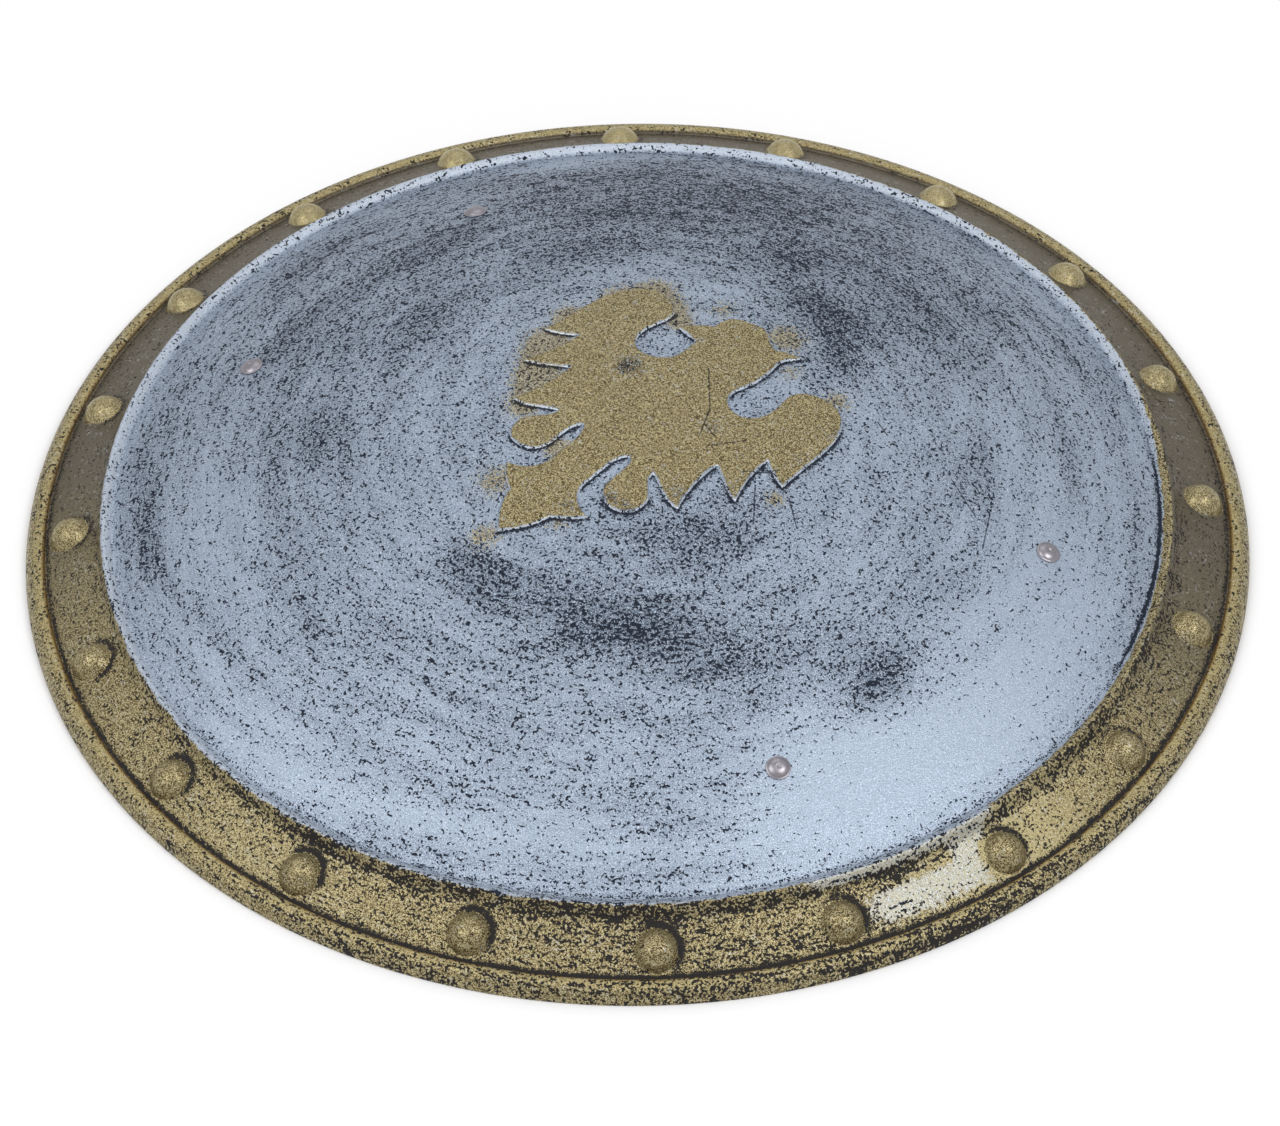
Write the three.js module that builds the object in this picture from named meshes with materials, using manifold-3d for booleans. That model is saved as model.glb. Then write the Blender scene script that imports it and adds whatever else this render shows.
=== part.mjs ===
// Round convex shield, half a metre across, with its two carrying straps.
//
// The shell is one moulded piece of thin plastic: a shallow dome that is part of a sphere, a
// raised lip round it, a sloping band with domed studs, a groove, a rounded bead and a short
// skirt that the shield lies on. A low eagle stands out of the middle of the dome. Two webbing
// straps cross the hollow behind it, each held by two metal rivets through shell and strap.
//
// Millimetres. +Z is the shield's outward axis, Z = 0 is the plane that the skirt rests on, and
// the origin is the centre of that plane. +Y is the way up of the eagle.

import * as THREE from "three";
import { mergeVertices } from "three/addons/utils/BufferGeometryUtils.js";
import Module from "manifold-3d";

const wasm = await Module();
wasm.setup();

// ---- driving dimensions ---------------------------------------------------------------------

const SEGMENTS = 60; // facets round the shell
const WALL = 2.5; // thickness of the shell
const OUTER_RADIUS = 250; // of the skirt

const DOME_RADIUS = 504.5; // of the sphere that the dome and the band both follow
const DOME_APEX = 67; // height of the top of the dome
const DOME_CENTRE = DOME_APEX - DOME_RADIUS; // height of that sphere's centre
const DOME_RINGS = 8;

const LIP_INNER = 213.4; // where the dome meets the raised lip
const LIP_OUTER = 218.4;
const LIP_RISE = 3.6; // above the sphere
const BAND_INNER = 221.8; // the band that carries the studs
const BAND_OUTER = 240.8;
const GROOVE_RADIUS = 241.3; // between the band and the rounded edge bead
const GROOVE_HEIGHT = 5.5;
const BEAD_RADIUS = 244; // of the crest of the bead
const BEAD_HEIGHT = 7.3;
const INSIDE_RADIUS = 241; // where the inside leaves the sphere and hollows out the bead

const STUD_COUNT = 20;
const STUD_FIRST = 9; // degrees from +X
const STUD_PITCH_RADIUS = 231.7;
const STUD_RADIUS = 8.6;
const STUD_RISE = 5.9;

const EMBLEM_RINGS = 4; // rings of the dome that the eagle spans
const EMBLEM_RISE = 1; // height of the eagle's relief
const EMBLEM_TURN = -0.8; // degrees
const EMBLEM_SHIFT = -0.3; // along X

const RIVET_PITCH_RADIUS = 171; // every rivet is this far from the shield's axis
const RIVET_HEAD_RADIUS = 5;
const RIVET_HEAD_HEIGHT = 1.9;
const RIVET_SHANK_RADIUS = 2.4;
const RIVET_SEGMENTS = 14;
const CLEARANCE = 0.3; // between a rivet and what it holds
const STRAP_CLEARANCE = 1.1; // between a strap's ends and the shell's faceted inside

const STRAP_THICKNESS = 2.2;
const STRAP_TAIL = 15; // strap beyond each rivet
const STRAP_SEAT = 11; // strap that lies on the shell inside each rivet
const STRAP_STEPS = 22;

// The bearing is the middle of the strap seen from the shield's axis, in degrees from +X, and
// the spread is the angle from there to each of its rivets.
const STRAPS = [
  { name: "hand_grip_strap", rivets: "hand_rivet", bearing: 179.1, spread: 22.4, width: 30, bow: 29 },
  { name: "forearm_strap", rivets: "forearm_rivet", bearing: -0.5, spread: 27.7, width: 38, bow: 29.5 },
];

const radians = THREE.MathUtils.degToRad;

// ---- materials ------------------------------------------------------------------------------

const shellPlastic = new THREE.MeshStandardMaterial({ color: 0x9aa4b2, roughness: 0.45, metalness: 0.3 });
const webbing = new THREE.MeshStandardMaterial({ color: 0x1b1b1d, roughness: 0.9, metalness: 0 });
const rivetMetal = new THREE.MeshStandardMaterial({ color: 0xb4b1b8, roughness: 0.3, metalness: 1 });

// ---- solids ---------------------------------------------------------------------------------

// A closed three.js geometry as a solid: its seams are merged and the empty triangles that a
// lathe leaves on its axis are dropped.
function solid(geometry) {
  const bare = geometry.clone();
  bare.deleteAttribute("normal");
  bare.deleteAttribute("uv");
  const merged = mergeVertices(bare, 1e-4);
  const corners = merged.index.array;
  const kept = [];
  for (let i = 0; i < corners.length; i += 3) {
    const [a, b, c] = corners.slice(i, i + 3);
    if (a !== b && b !== c && c !== a) kept.push(a, b, c);
  }
  const mesh = new wasm.Mesh({
    numProp: 3,
    vertProperties: new Float32Array(merged.attributes.position.array),
    triVerts: new Uint32Array(kept),
  });
  return new wasm.Manifold(mesh);
}

function geometryOf(manifold) {
  const mesh = manifold.getMesh();
  const geometry = new THREE.BufferGeometry();
  geometry.setAttribute("position", new THREE.BufferAttribute(mesh.vertProperties, 3));
  geometry.setIndex(new THREE.BufferAttribute(mesh.triVerts, 1));
  geometry.computeVertexNormals();
  return geometry;
}

// A profile of [radius, height] points, listed from the bottom of the axis round to the top,
// turned about Z.
function turned(profile, segments) {
  const points = profile.map(([radius, height]) => new THREE.Vector2(radius, height));
  return new THREE.LatheGeometry(points, segments).rotateX(Math.PI / 2).rotateZ(Math.PI / 2);
}

// Height of a sphere about the dome's centre, at a distance from the shield's axis.
function sphereHeight(radius, sphereRadius = DOME_RADIUS) {
  return DOME_CENTRE + Math.sqrt(sphereRadius ** 2 - radius ** 2);
}

// Points of a sphere about the dome's centre, from the axis out to a radius.
function sphereProfile(sphereRadius, lastRadius, rings) {
  const lastAngle = Math.asin(lastRadius / sphereRadius);
  return Array.from({ length: rings + 1 }, (_, i) => {
    const angle = (lastAngle * i) / rings;
    return [sphereRadius * Math.sin(angle), DOME_CENTRE + sphereRadius * Math.cos(angle)];
  });
}

// The frame of a place on a sphere about the dome's centre: its Z points straight out of the
// surface, its X downhill and its Y level. The bearing is about the shield's axis, and the
// slope is the angle of Z from that axis.
function placeOnSphere(bearing, slope, sphereRadius) {
  return new THREE.Matrix4()
    .makeTranslation(0, 0, DOME_CENTRE)
    .multiply(new THREE.Matrix4().makeRotationZ(bearing))
    .multiply(new THREE.Matrix4().makeRotationY(slope))
    .multiply(new THREE.Matrix4().makeTranslation(0, 0, sphereRadius));
}

// ---- eagle ----------------------------------------------------------------------------------

// The right half of the eagle, from the notch between neck and wing, round the wing's three
// pointed feathers and its round one, down the tail to the point at the bottom.
function wingAndTail(toPoint) {
  const path = new THREE.Path();
  path.moveTo(...toPoint(26, 31));
  const curve = (...numbers) =>
    path.bezierCurveTo(
      ...toPoint(numbers[0], numbers[1]),
      ...toPoint(numbers[2], numbers[3]),
      ...toPoint(numbers[4], numbers[5]),
    );
  curve(31, 31, 34.6, 35, 35, 41);
  curve(35.6, 48, 31.5, 53, 34.5, 58.5);
  curve(37, 63, 42, 65, 48, 65);
  curve(58, 65, 63.2, 53, 64.5, 41);
  curve(65, 33, 65.4, 23, 66.5, 15.5);
  curve(62, 16.2, 57, 18.4, 52.8, 21.4);
  curve(53, 13, 55, 4, 59, -4);
  curve(53.5, -3.2, 47.5, 1, 41, 4.5);
  curve(40.6, -6, 42, -14, 45.8, -23.3);
  curve(38.5, -24.3, 35, -20, 26, -16.8);
  curve(27.5, -24, 35, -25, 35, -32);
  curve(35, -38, 31, -41, 26, -41);
  curve(20, -41, 16.4, -37, 16, -32);
  curve(15.7, -26, 17, -19.5, 13, -16.7);
  curve(11, -19, 9.9, -22, 9.9, -26);
  path.lineTo(...toPoint(9.9, -38));
  curve(9.9, -44.5, 14, -49.5, 23, -50.6);
  curve(20, -54.6, 16, -57.6, 11, -60.5);
  curve(10.4, -66.5, 5, -73.5, 0, -78.6);
  return path;
}

// The neck, crest, head and beak, from the right-hand notch over to the left-hand one.
function neckAndHead() {
  const path = new THREE.Path();
  path.moveTo(26, 31);
  path.bezierCurveTo(21, 31, 17.2, 35, 17.2, 40);
  path.bezierCurveTo(18.6, 47, 20.4, 53, 17, 66);
  path.bezierCurveTo(17.3, 70, 19, 73, 21.6, 76.3);
  path.bezierCurveTo(17.6, 74.8, 14, 74.6, 11, 71.8);
  path.bezierCurveTo(8, 71.2, 4.5, 75.2, -1, 78);
  path.bezierCurveTo(-5, 78.6, -9, 76.6, -13, 75.4);
  path.bezierCurveTo(-17, 73, -17.8, 68, -16.8, 64);
  path.bezierCurveTo(-20.5, 61.5, -24.5, 57.8, -26.6, 53);
  path.lineTo(-15.4, 51.2);
  path.bezierCurveTo(-14.6, 48, -14.3, 43, -14.5, 40);
  path.bezierCurveTo(-14.8, 35, -20, 31, -26, 31);
  return path;
}

function eagleOutline(divisions) {
  const right = wingAndTail((x, y) => [x, y]).getPoints(divisions);
  const left = wingAndTail((x, y) => [-x, y]).getPoints(divisions);
  const head = neckAndHead().getPoints(divisions);
  const points = [...head.slice(1), ...left.slice(1), ...right.reverse().slice(1)];
  return new THREE.Shape(points);
}

function eagle() {
  const rings = sphereProfile(DOME_RADIUS, LIP_INNER, DOME_RINGS).slice(0, EMBLEM_RINGS + 1);
  const lift = (rise) => rings.map(([radius, height]) => [radius, height + rise]);
  const skin = solid(turned([...lift(-WALL / 2), ...lift(EMBLEM_RISE).reverse()], SEGMENTS));
  const prism = new THREE.ExtrudeGeometry(eagleOutline(3), { depth: DOME_APEX, bevelEnabled: false });
  prism.rotateZ(radians(EMBLEM_TURN)).translate(EMBLEM_SHIFT, 0, EMBLEM_RISE + WALL);
  return solid(prism).intersect(skin);
}

// ---- shell ----------------------------------------------------------------------------------

// The bare turned shell, from the middle of its inside, out and under the skirt, and back over
// the bead, the band and the lip to the top of the dome.
function shellBody() {
  const inside = sphereProfile(DOME_RADIUS - WALL, INSIDE_RADIUS, 6);
  const beadInside = [
    [BEAD_RADIUS - 1.2, BEAD_HEIGHT - 3.6],
    [BEAD_RADIUS + 0.8, BEAD_HEIGHT - 2.8],
    [BEAD_RADIUS + 2.6, BEAD_HEIGHT - 4.4],
  ];
  const skirt = [
    [OUTER_RADIUS - WALL, 0],
    [OUTER_RADIUS, 0],
    [OUTER_RADIUS, 1.4],
  ];
  const bead = [
    [BEAD_RADIUS + 5.4, BEAD_HEIGHT - 3.6],
    [BEAD_RADIUS + 3, BEAD_HEIGHT - 1],
    [BEAD_RADIUS, BEAD_HEIGHT],
    [BEAD_RADIUS - 1.7, BEAD_HEIGHT - 0.5],
    [GROOVE_RADIUS, GROOVE_HEIGHT],
  ];
  const onSphere = (radius, rise = 0) => [radius, sphereHeight(radius) + rise];
  const band = [onSphere(BAND_OUTER), onSphere(STUD_PITCH_RADIUS), onSphere(BAND_INNER)];
  const lip = [
    onSphere(LIP_OUTER + 1, 0.15 * LIP_RISE),
    onSphere(LIP_OUTER - 0.8, 0.75 * LIP_RISE),
    onSphere(LIP_INNER + 2.8, LIP_RISE),
    onSphere(LIP_INNER + 1.2, 0.55 * LIP_RISE),
  ];
  const outside = sphereProfile(DOME_RADIUS, LIP_INNER, DOME_RINGS).reverse();
  const profile = [...inside, ...beadInside, ...skirt, ...bead, ...band, ...lip, ...outside];
  return solid(turned(profile, SEGMENTS));
}

// A round-topped stud, with its foot sunk into the band.
function stud(index) {
  const sphere = (STUD_RADIUS ** 2 + STUD_RISE ** 2) / (2 * STUD_RISE);
  const footAngle = Math.acos((sphere - STUD_RISE) / sphere);
  const steps = 3;
  const cap = Array.from({ length: steps + 1 }, (_, i) => {
    const angle = footAngle * (1 - i / steps);
    return [sphere * Math.sin(angle), STUD_RISE - sphere * (1 - Math.cos(angle))];
  });
  const geometry = turned([[0, -WALL / 2], [STUD_RADIUS, -WALL / 2], ...cap], 12);
  const bearing = radians(STUD_FIRST + (360 * index) / STUD_COUNT);
  const slope = Math.asin(STUD_PITCH_RADIUS / DOME_RADIUS);
  return solid(geometry.applyMatrix4(placeOnSphere(bearing, slope, DOME_RADIUS)));
}

// A bar along Z that makes room for a rivet's shank.
function shankHole() {
  const length = 8 * WALL;
  const radius = RIVET_SHANK_RADIUS + CLEARANCE;
  return new THREE.CylinderGeometry(radius, radius, length, RIVET_SEGMENTS).rotateX(Math.PI / 2);
}

function rivetPlaces(strap) {
  const slope = Math.asin(RIVET_PITCH_RADIUS / DOME_RADIUS);
  return [strap.bearing + strap.spread, strap.bearing - strap.spread].map((bearing) =>
    placeOnSphere(radians(bearing), slope, DOME_RADIUS),
  );
}

function shell() {
  let body = shellBody().add(eagle());
  for (let i = 0; i < STUD_COUNT; i += 1) body = body.add(stud(i));
  for (const place of STRAPS.flatMap(rivetPlaces)) {
    body = body.subtract(solid(shankHole().applyMatrix4(place)));
  }
  const mesh = new THREE.Mesh(geometryOf(body), shellPlastic);
  mesh.name = "shell";
  return mesh;
}

// ---- straps ---------------------------------------------------------------------------------

// A strap runs level from rivet to rivet. In its own frame Z points out through the shell, Y
// runs along the strap and X across it, with the origin on the shell's inside between the
// rivets. Its ends lie on the shell and its middle bows away from it, as half a cosine wave.
function strapMesh(strap) {
  const slope = Math.asin(RIVET_PITCH_RADIUS / DOME_RADIUS);
  const spread = radians(strap.spread);
  const rivetAngle = Math.asin(Math.sin(slope) * Math.sin(spread)); // from the strap's middle
  const middleSlope = Math.atan(Math.tan(slope) * Math.cos(spread));
  const inside = DOME_RADIUS - WALL;
  const seat = inside - STRAP_CLEARANCE;
  const endAngle = rivetAngle + STRAP_TAIL / inside;
  const bowAngle = rivetAngle - STRAP_SEAT / inside;

  const face = [];
  const back = [];
  for (let i = 0; i <= STRAP_STEPS; i += 1) {
    const angle = endAngle * ((2 * i) / STRAP_STEPS - 1);
    const bowing = Math.abs(angle) < bowAngle;
    const turn = (Math.PI * angle) / bowAngle;
    const depth = bowing ? (strap.bow * (1 + Math.cos(turn))) / 2 : 0;
    const climb = bowing ? (strap.bow * Math.PI * Math.sin(turn)) / (2 * bowAngle * seat) : 0;
    const along = angle - Math.atan(climb); // direction of the face's normal, from Z
    const y = (seat - depth) * Math.sin(angle);
    const z = (seat - depth) * Math.cos(angle) - inside;
    face.push(new THREE.Vector2(y, z));
    const [inY, inZ] = [Math.sin(along) * STRAP_THICKNESS, Math.cos(along) * STRAP_THICKNESS];
    back.push(new THREE.Vector2(y - inY, z - inZ));
  }
  const outline = new THREE.Shape([...back, ...face.reverse()]);
  const ribbon = new THREE.ExtrudeGeometry(outline, { depth: strap.width, bevelEnabled: false });
  const across = new THREE.Vector3(1, 0, 0);
  const alongAxis = new THREE.Vector3(0, 1, 0);
  const outward = new THREE.Vector3(0, 0, 1);
  ribbon.translate(0, 0, -strap.width / 2);
  ribbon.applyMatrix4(new THREE.Matrix4().makeBasis(alongAxis, outward, across));

  let body = solid(ribbon);
  for (const side of [-1, 1]) {
    const hole = shankHole().translate(0, 0, inside).rotateX(side * rivetAngle).translate(0, 0, -inside);
    body = body.subtract(solid(hole));
  }
  const mesh = new THREE.Mesh(geometryOf(body), webbing);
  mesh.name = strap.name;
  mesh.applyMatrix4(placeOnSphere(radians(strap.bearing), middleSlope, inside));
  return mesh;
}

// ---- rivets ---------------------------------------------------------------------------------

// A low round head with a dimple outside the shell, a shank through shell and strap, and a
// clenched tail behind the strap. Z = 0 is the outside of the shell.
function rivetGeometry() {
  const grip = WALL + STRAP_CLEARANCE + STRAP_THICKNESS + CLEARANCE;
  return turned(
    [
      [0, -grip - 1.5],
      [3.4, -grip - 1.5],
      [4.4, -grip - 0.8],
      [4.4, -grip],
      [RIVET_SHANK_RADIUS, -grip],
      [RIVET_SHANK_RADIUS, CLEARANCE],
      [RIVET_HEAD_RADIUS, CLEARANCE],
      [RIVET_HEAD_RADIUS, 0.8],
      [0.8 * RIVET_HEAD_RADIUS, 0.8 * RIVET_HEAD_HEIGHT],
      [0.5, RIVET_HEAD_HEIGHT],
      [0, RIVET_HEAD_HEIGHT - 0.4],
    ],
    RIVET_SEGMENTS,
  );
}

function rivetMeshes(strap) {
  const higherFirst = Math.cos(radians(strap.bearing)) > 0 ? ["upper", "lower"] : ["lower", "upper"];
  return rivetPlaces(strap).map((place, i) => {
    const mesh = new THREE.Mesh(geometryOf(solid(rivetGeometry())), rivetMetal);
    mesh.name = `${strap.rivets}_${higherFirst[i]}`;
    mesh.applyMatrix4(place);
    return mesh;
  });
}

// ---- the shield -----------------------------------------------------------------------------

const shield = new THREE.Group();
shield.add(shell());
for (const strap of STRAPS) shield.add(strapMesh(strap), ...rivetMeshes(strap));

export default shield;
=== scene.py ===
"""Round convex costume shield, lying on its rim: a grained black plastic shell, dry-brushed with
silver on the dome and gold on the studded rim and the eagle, with two webbing straps behind it
held by four metal rivets. The frame gives places in metres; each piece is worked out here in
millimetres about the same origin and scaled as its mesh is made."""

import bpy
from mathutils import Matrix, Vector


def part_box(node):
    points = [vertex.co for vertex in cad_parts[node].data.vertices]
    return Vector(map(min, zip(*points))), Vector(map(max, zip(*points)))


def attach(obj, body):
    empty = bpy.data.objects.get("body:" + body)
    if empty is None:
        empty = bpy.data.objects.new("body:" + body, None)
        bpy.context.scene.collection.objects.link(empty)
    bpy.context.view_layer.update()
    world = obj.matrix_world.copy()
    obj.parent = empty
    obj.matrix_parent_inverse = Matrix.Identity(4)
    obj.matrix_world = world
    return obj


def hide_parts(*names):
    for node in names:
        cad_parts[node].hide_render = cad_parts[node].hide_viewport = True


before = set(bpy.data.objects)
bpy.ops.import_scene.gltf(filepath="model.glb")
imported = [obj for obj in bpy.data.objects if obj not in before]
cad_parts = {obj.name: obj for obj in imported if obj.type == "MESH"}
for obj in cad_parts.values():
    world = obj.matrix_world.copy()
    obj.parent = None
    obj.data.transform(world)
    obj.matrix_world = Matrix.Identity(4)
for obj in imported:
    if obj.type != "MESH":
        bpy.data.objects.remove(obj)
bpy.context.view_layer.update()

import math

import bpy
import numpy as np
from mathutils import Matrix, Quaternion, Vector
from mathutils.geometry import delaunay_2d_cdt

# ---- Camera, floor and studio light ---------------------------------------------------------
# A long lens looks down on the shield from the lower right of the eagle. The floor is a pale
# sheet, and two soft boxes above the camera light the shield in a white room.

SIGHT_BEARING, SIGHT_RISE = math.radians(43.67), math.radians(45.83)
SIGHT_DISTANCE = 2.369
SIGHT_ROLL = math.radians(-0.7515)
AIM = Vector((0.0187, -0.0182, 0.0112))
LENS, SENSOR = 164.43, 36.0


def towards(bearing, rise):
    """Unit vector from the shield to a place at a bearing, 0 at -Y and growing towards +X,
    and at a rise above the floor."""
    level = math.cos(rise)
    return Vector((math.sin(bearing) * level, -math.cos(bearing) * level, math.sin(rise)))


camera_data = bpy.data.cameras.new("camera")
camera_data.lens, camera_data.sensor_width = LENS, SENSOR
camera_data.clip_start, camera_data.clip_end = 0.1, 20
camera = bpy.data.objects.new("camera", camera_data)
back = towards(SIGHT_BEARING, SIGHT_RISE)
camera.location = AIM + back * SIGHT_DISTANCE
camera.rotation_mode = "QUATERNION"
camera.rotation_quaternion = (-back).to_track_quat("-Z", "Y") @ Quaternion((0, 0, 1), SIGHT_ROLL)
bpy.context.scene.collection.objects.link(camera)
bpy.context.scene.camera = camera
bpy.context.scene.view_settings.view_transform = "Standard"


def soft_box(name, bearing, rise, distance, size, power, colour=(1, 1, 1)):
    """A square area light that faces the middle of the shield."""
    lamp = bpy.data.lights.new(name, "AREA")
    lamp.shape, lamp.size, lamp.energy, lamp.color = "SQUARE", size, power, colour
    box = bpy.data.objects.new(name, lamp)
    direction = towards(SIGHT_BEARING + math.radians(bearing), math.radians(rise))
    box.location = direction * distance
    box.rotation_euler = direction.to_track_quat("Z", "Y").to_euler()
    bpy.context.scene.collection.objects.link(box)


soft_box("right_soft_box", 62, 58, 2.4, 1.0, 16)
soft_box("left_soft_box", -68, 55, 2.4, 1.5, 16)
soft_box("back_soft_box", 180, 50, 2.6, 1.6, 6)

room = bpy.data.worlds.new("white_room")
room.use_nodes = True
room.node_tree.nodes["Background"].inputs["Color"].default_value = (1, 1, 1, 1)
room.node_tree.nodes["Background"].inputs["Strength"].default_value = 0.62
bpy.context.scene.world = room

floor_mesh = bpy.data.meshes.new("floor")
FLOOR = 6.0
floor_mesh.from_pydata(
    [(-FLOOR, -FLOOR, 0), (FLOOR, -FLOOR, 0), (FLOOR, FLOOR, 0), (-FLOOR, FLOOR, 0)], [], [(0, 1, 2, 3)]
)
floor_object = bpy.data.objects.new("floor", floor_mesh)
floor_finish = bpy.data.materials.new("pale_floor")
floor_finish.use_nodes = True
floor_shader = floor_finish.node_tree.nodes["Principled BSDF"]
floor_shader.inputs["Base Color"].default_value = (0.93, 0.93, 0.94, 1)
floor_shader.inputs["Roughness"].default_value = 0.9
floor_mesh.materials.append(floor_finish)
bpy.context.scene.collection.objects.link(floor_object)

# ---- Shell: the moulded body ----------------------------------------------------------------
# One plastic moulding 2.5 mm thick: a shallow spherical dome, a raised lip, a sloping band on
# the same sphere with domed studs, a groove, a rounded bead and a short skirt. An eagle stands a
# millimetre out of the dome, round the mark where the plastic was fed in.

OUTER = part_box("shell")[1].x * 1000
EMBLEM_RISE = 1.0
DOME_RADIUS = 504.5
DOME_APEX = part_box("shell")[1].z * 1000 - EMBLEM_RISE
DOME_CENTRE = DOME_APEX - DOME_RADIUS
WALL = 2.5
LIP_INNER, LIP_CREST, LIP_OUTER, LIP_RISE = 213.2, 216.2, 221.8, 3.6
BAND_INNER, BAND_OUTER = 221.8, 240.8
GROOVE = 241.2
BEAD_CREST, BEAD_TOP, BEAD_WAIST = 243.9, 7.3, 0.6
RIM_COLUMNS = 480

STUDS = np.radians(9 + 18 * np.arange(20))
STUD_PITCH = 231.7
STUD_RADIUS, STUD_RISE, STUD_FILLET = 8.3, 5.9, 0.9

RIVET_PITCH = 171.0
HAND_BEARING, HAND_SPREAD = 179.1, 22.4
FOREARM_BEARING, FOREARM_SPREAD = -0.5, 27.7
RIVET_BEARINGS = {
    "hand_rivet_upper": HAND_BEARING - HAND_SPREAD,
    "hand_rivet_lower": HAND_BEARING + HAND_SPREAD,
    "forearm_rivet_upper": FOREARM_BEARING + FOREARM_SPREAD,
    "forearm_rivet_lower": FOREARM_BEARING - FOREARM_SPREAD,
}
RIVET_HOLE, HOLE_SIDES = 2.7, 24

EMBLEM_TURN, EMBLEM_SHIFT = math.radians(-0.8), -0.3
OUTLINE_STEP = 0.9

# Each row is one cubic curve: two control points and the end, from where the last one ended.
WING_START = (26, 31)
WING = [
    (31, 31, 34.6, 35, 35, 41),
    (35.6, 48, 31.5, 53, 34.5, 58.5),
    (37, 63, 42, 65, 48, 65),
    (58, 65, 63.2, 53, 64.5, 41),
    (65, 33, 65.4, 23, 66.5, 15.5),
    (62, 16.2, 57, 18.4, 52.8, 21.4),
    (53, 13, 55, 4, 59, -4),
    (53.5, -3.2, 47.5, 1, 41, 4.5),
    (40.6, -6, 42, -14, 45.8, -23.3),
    (38.5, -24.3, 35, -20, 26, -16.8),
    (27.5, -24, 35, -25, 35, -32),
    (35, -38, 31, -41, 26, -41),
    (20, -41, 16.4, -37, 16, -32),
    (15.7, -26, 17, -19.5, 13, -16.7),
    (11, -19, 9.9, -22, 9.9, -26),
    (9.9, -30, 9.9, -34, 9.9, -38),
    (9.9, -44.5, 14, -49.5, 23, -50.6),
    (20, -54.6, 16, -57.6, 11, -60.5),
    (10.4, -66.5, 5, -73.5, 0, -78.6),
]
HEAD = [
    (21, 31, 17.2, 35, 17.2, 40),
    (18.6, 47, 20.4, 53, 17, 66),
    (17.3, 70, 19, 73, 21.6, 76.3),
    (17.6, 74.8, 14, 74.6, 11, 71.8),
    (8, 71.2, 4.5, 75.2, -1, 78),
    (-5, 78.6, -9, 76.6, -13, 75.4),
    (-17, 73, -17.8, 68, -16.8, 64),
    (-20.5, 61.5, -24.5, 57.8, -26.6, 53),
    (-22.9, 52.4, -19.1, 51.8, -15.4, 51.2),
    (-14.6, 48, -14.3, 43, -14.5, 40),
    (-14.8, 35, -20, 31, -26, 31),
]


def curve_points(start, rows):
    """Points about OUTLINE_STEP apart on a chain of cubic curves. A curve's points are its four
    corners weighted by (1-t)^3, 3t(1-t)^2, 3t^2(1-t) and t^3, with t from 0 up to 1."""
    chain = []
    for row in rows:
        corners = np.array([start, row[:2], row[2:4], row[4:]], float)
        length = np.linalg.norm(np.diff(corners, axis=0), axis=1).sum()
        t = np.linspace(0, 1, math.ceil(length / OUTLINE_STEP), endpoint=False)[:, None]
        weights = np.hstack([(1 - t) ** 3, 3 * t * (1 - t) ** 2, 3 * t**2 * (1 - t), t**3])
        chain.append(weights @ corners)
        start = row[4:]
    return np.concatenate(chain)


def eagle_outline():
    """The eagle's outline, anticlockwise: over the head to the left notch, down the left wing
    mirrored from the right one, and back up the right wing."""
    right = curve_points(WING_START, WING)
    left = right * [-1, 1]
    bottom = np.array([WING[-1][4:]], float)
    outline = np.concatenate([curve_points(WING_START, HEAD), left, bottom, right[:0:-1]])
    c, s = math.cos(EMBLEM_TURN), math.sin(EMBLEM_TURN)
    return outline @ np.array([[c, s], [-s, c]]) + [EMBLEM_SHIFT, 0]


def depth_inside(points, outline):
    """Distance from each point to a closed outline, positive inside it: the least distance to
    any of its sides, signed by whether a ray along +X crosses it an odd number of times."""
    a, b = outline, np.roll(outline, -1, axis=0)
    side = (b - a)[None]
    offset = points[:, None] - a[None]
    along = np.clip((offset * side).sum(-1) / (side**2).sum(-1), 0, 1)
    distance = np.linalg.norm(offset - along[..., None] * side, axis=-1).min(axis=1)
    y = points[:, 1, None]
    crosses = (a[None, :, 1] > y) != (b[None, :, 1] > y)
    rise = np.where(crosses, side[..., 1], 1)
    reach = a[None, :, 0] + (y - a[None, :, 1]) / rise * side[..., 0]
    inside = (crosses & (points[:, 0, None] < reach)).sum(axis=1) % 2
    return np.where(inside, distance, -distance)


def offset_loop(outline, offset):
    """The outline moved inwards by an offset, outwards if it is negative, without the points
    that a tight corner folds back."""
    tangent = np.roll(outline, -1, axis=0) - np.roll(outline, 1, axis=0)
    inward = np.stack([-tangent[:, 1], tangent[:, 0]], axis=1)
    inward /= np.linalg.norm(inward, axis=1, keepdims=True)
    moved = outline + offset * inward
    depth = depth_inside(moved, outline)
    return moved[np.abs(depth - offset) < 0.15 * abs(offset) + 0.02]


def on_dome(plan, height):
    """The point over a plan position, a height out of the dome's sphere along its radius: the
    sphere's centre plus (radius + height) times the unit vector to the plan position."""
    level = plan / DOME_RADIUS
    up = np.sqrt(1 - (level**2).sum(axis=1, keepdims=True))
    unit = np.hstack([level, up])
    return unit * (DOME_RADIUS + np.asarray(height)[:, None]) + [0, 0, DOME_CENTRE]


def dome_plan(radius, z):
    """The plan radius, and the height out of the sphere, that on_dome takes to reach a point at
    a radius and a z."""
    from_centre = np.hypot(radius, z - DOME_CENTRE)
    return radius * DOME_RADIUS / from_centre, from_centre - DOME_RADIUS


def smooth(value, low, high):
    """0 below low and 1 above high, with the ease 3t^2 - 2t^3 between them."""
    t = np.clip((value - low) / (high - low), 0, 1)
    return t * t * (3 - 2 * t)


def ring(radius, count, centre=(0, 0), phase=0.0):
    """Points evenly round a circle."""
    angle = phase + 2 * np.pi * np.arange(count) / count
    return np.array(centre) + radius * np.stack([np.cos(angle), np.sin(angle)], axis=1)


def polar(radius, angle):
    """The plan position at a radius and a bearing."""
    return np.stack([radius * np.cos(angle), radius * np.sin(angle)], axis=-1)


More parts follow.
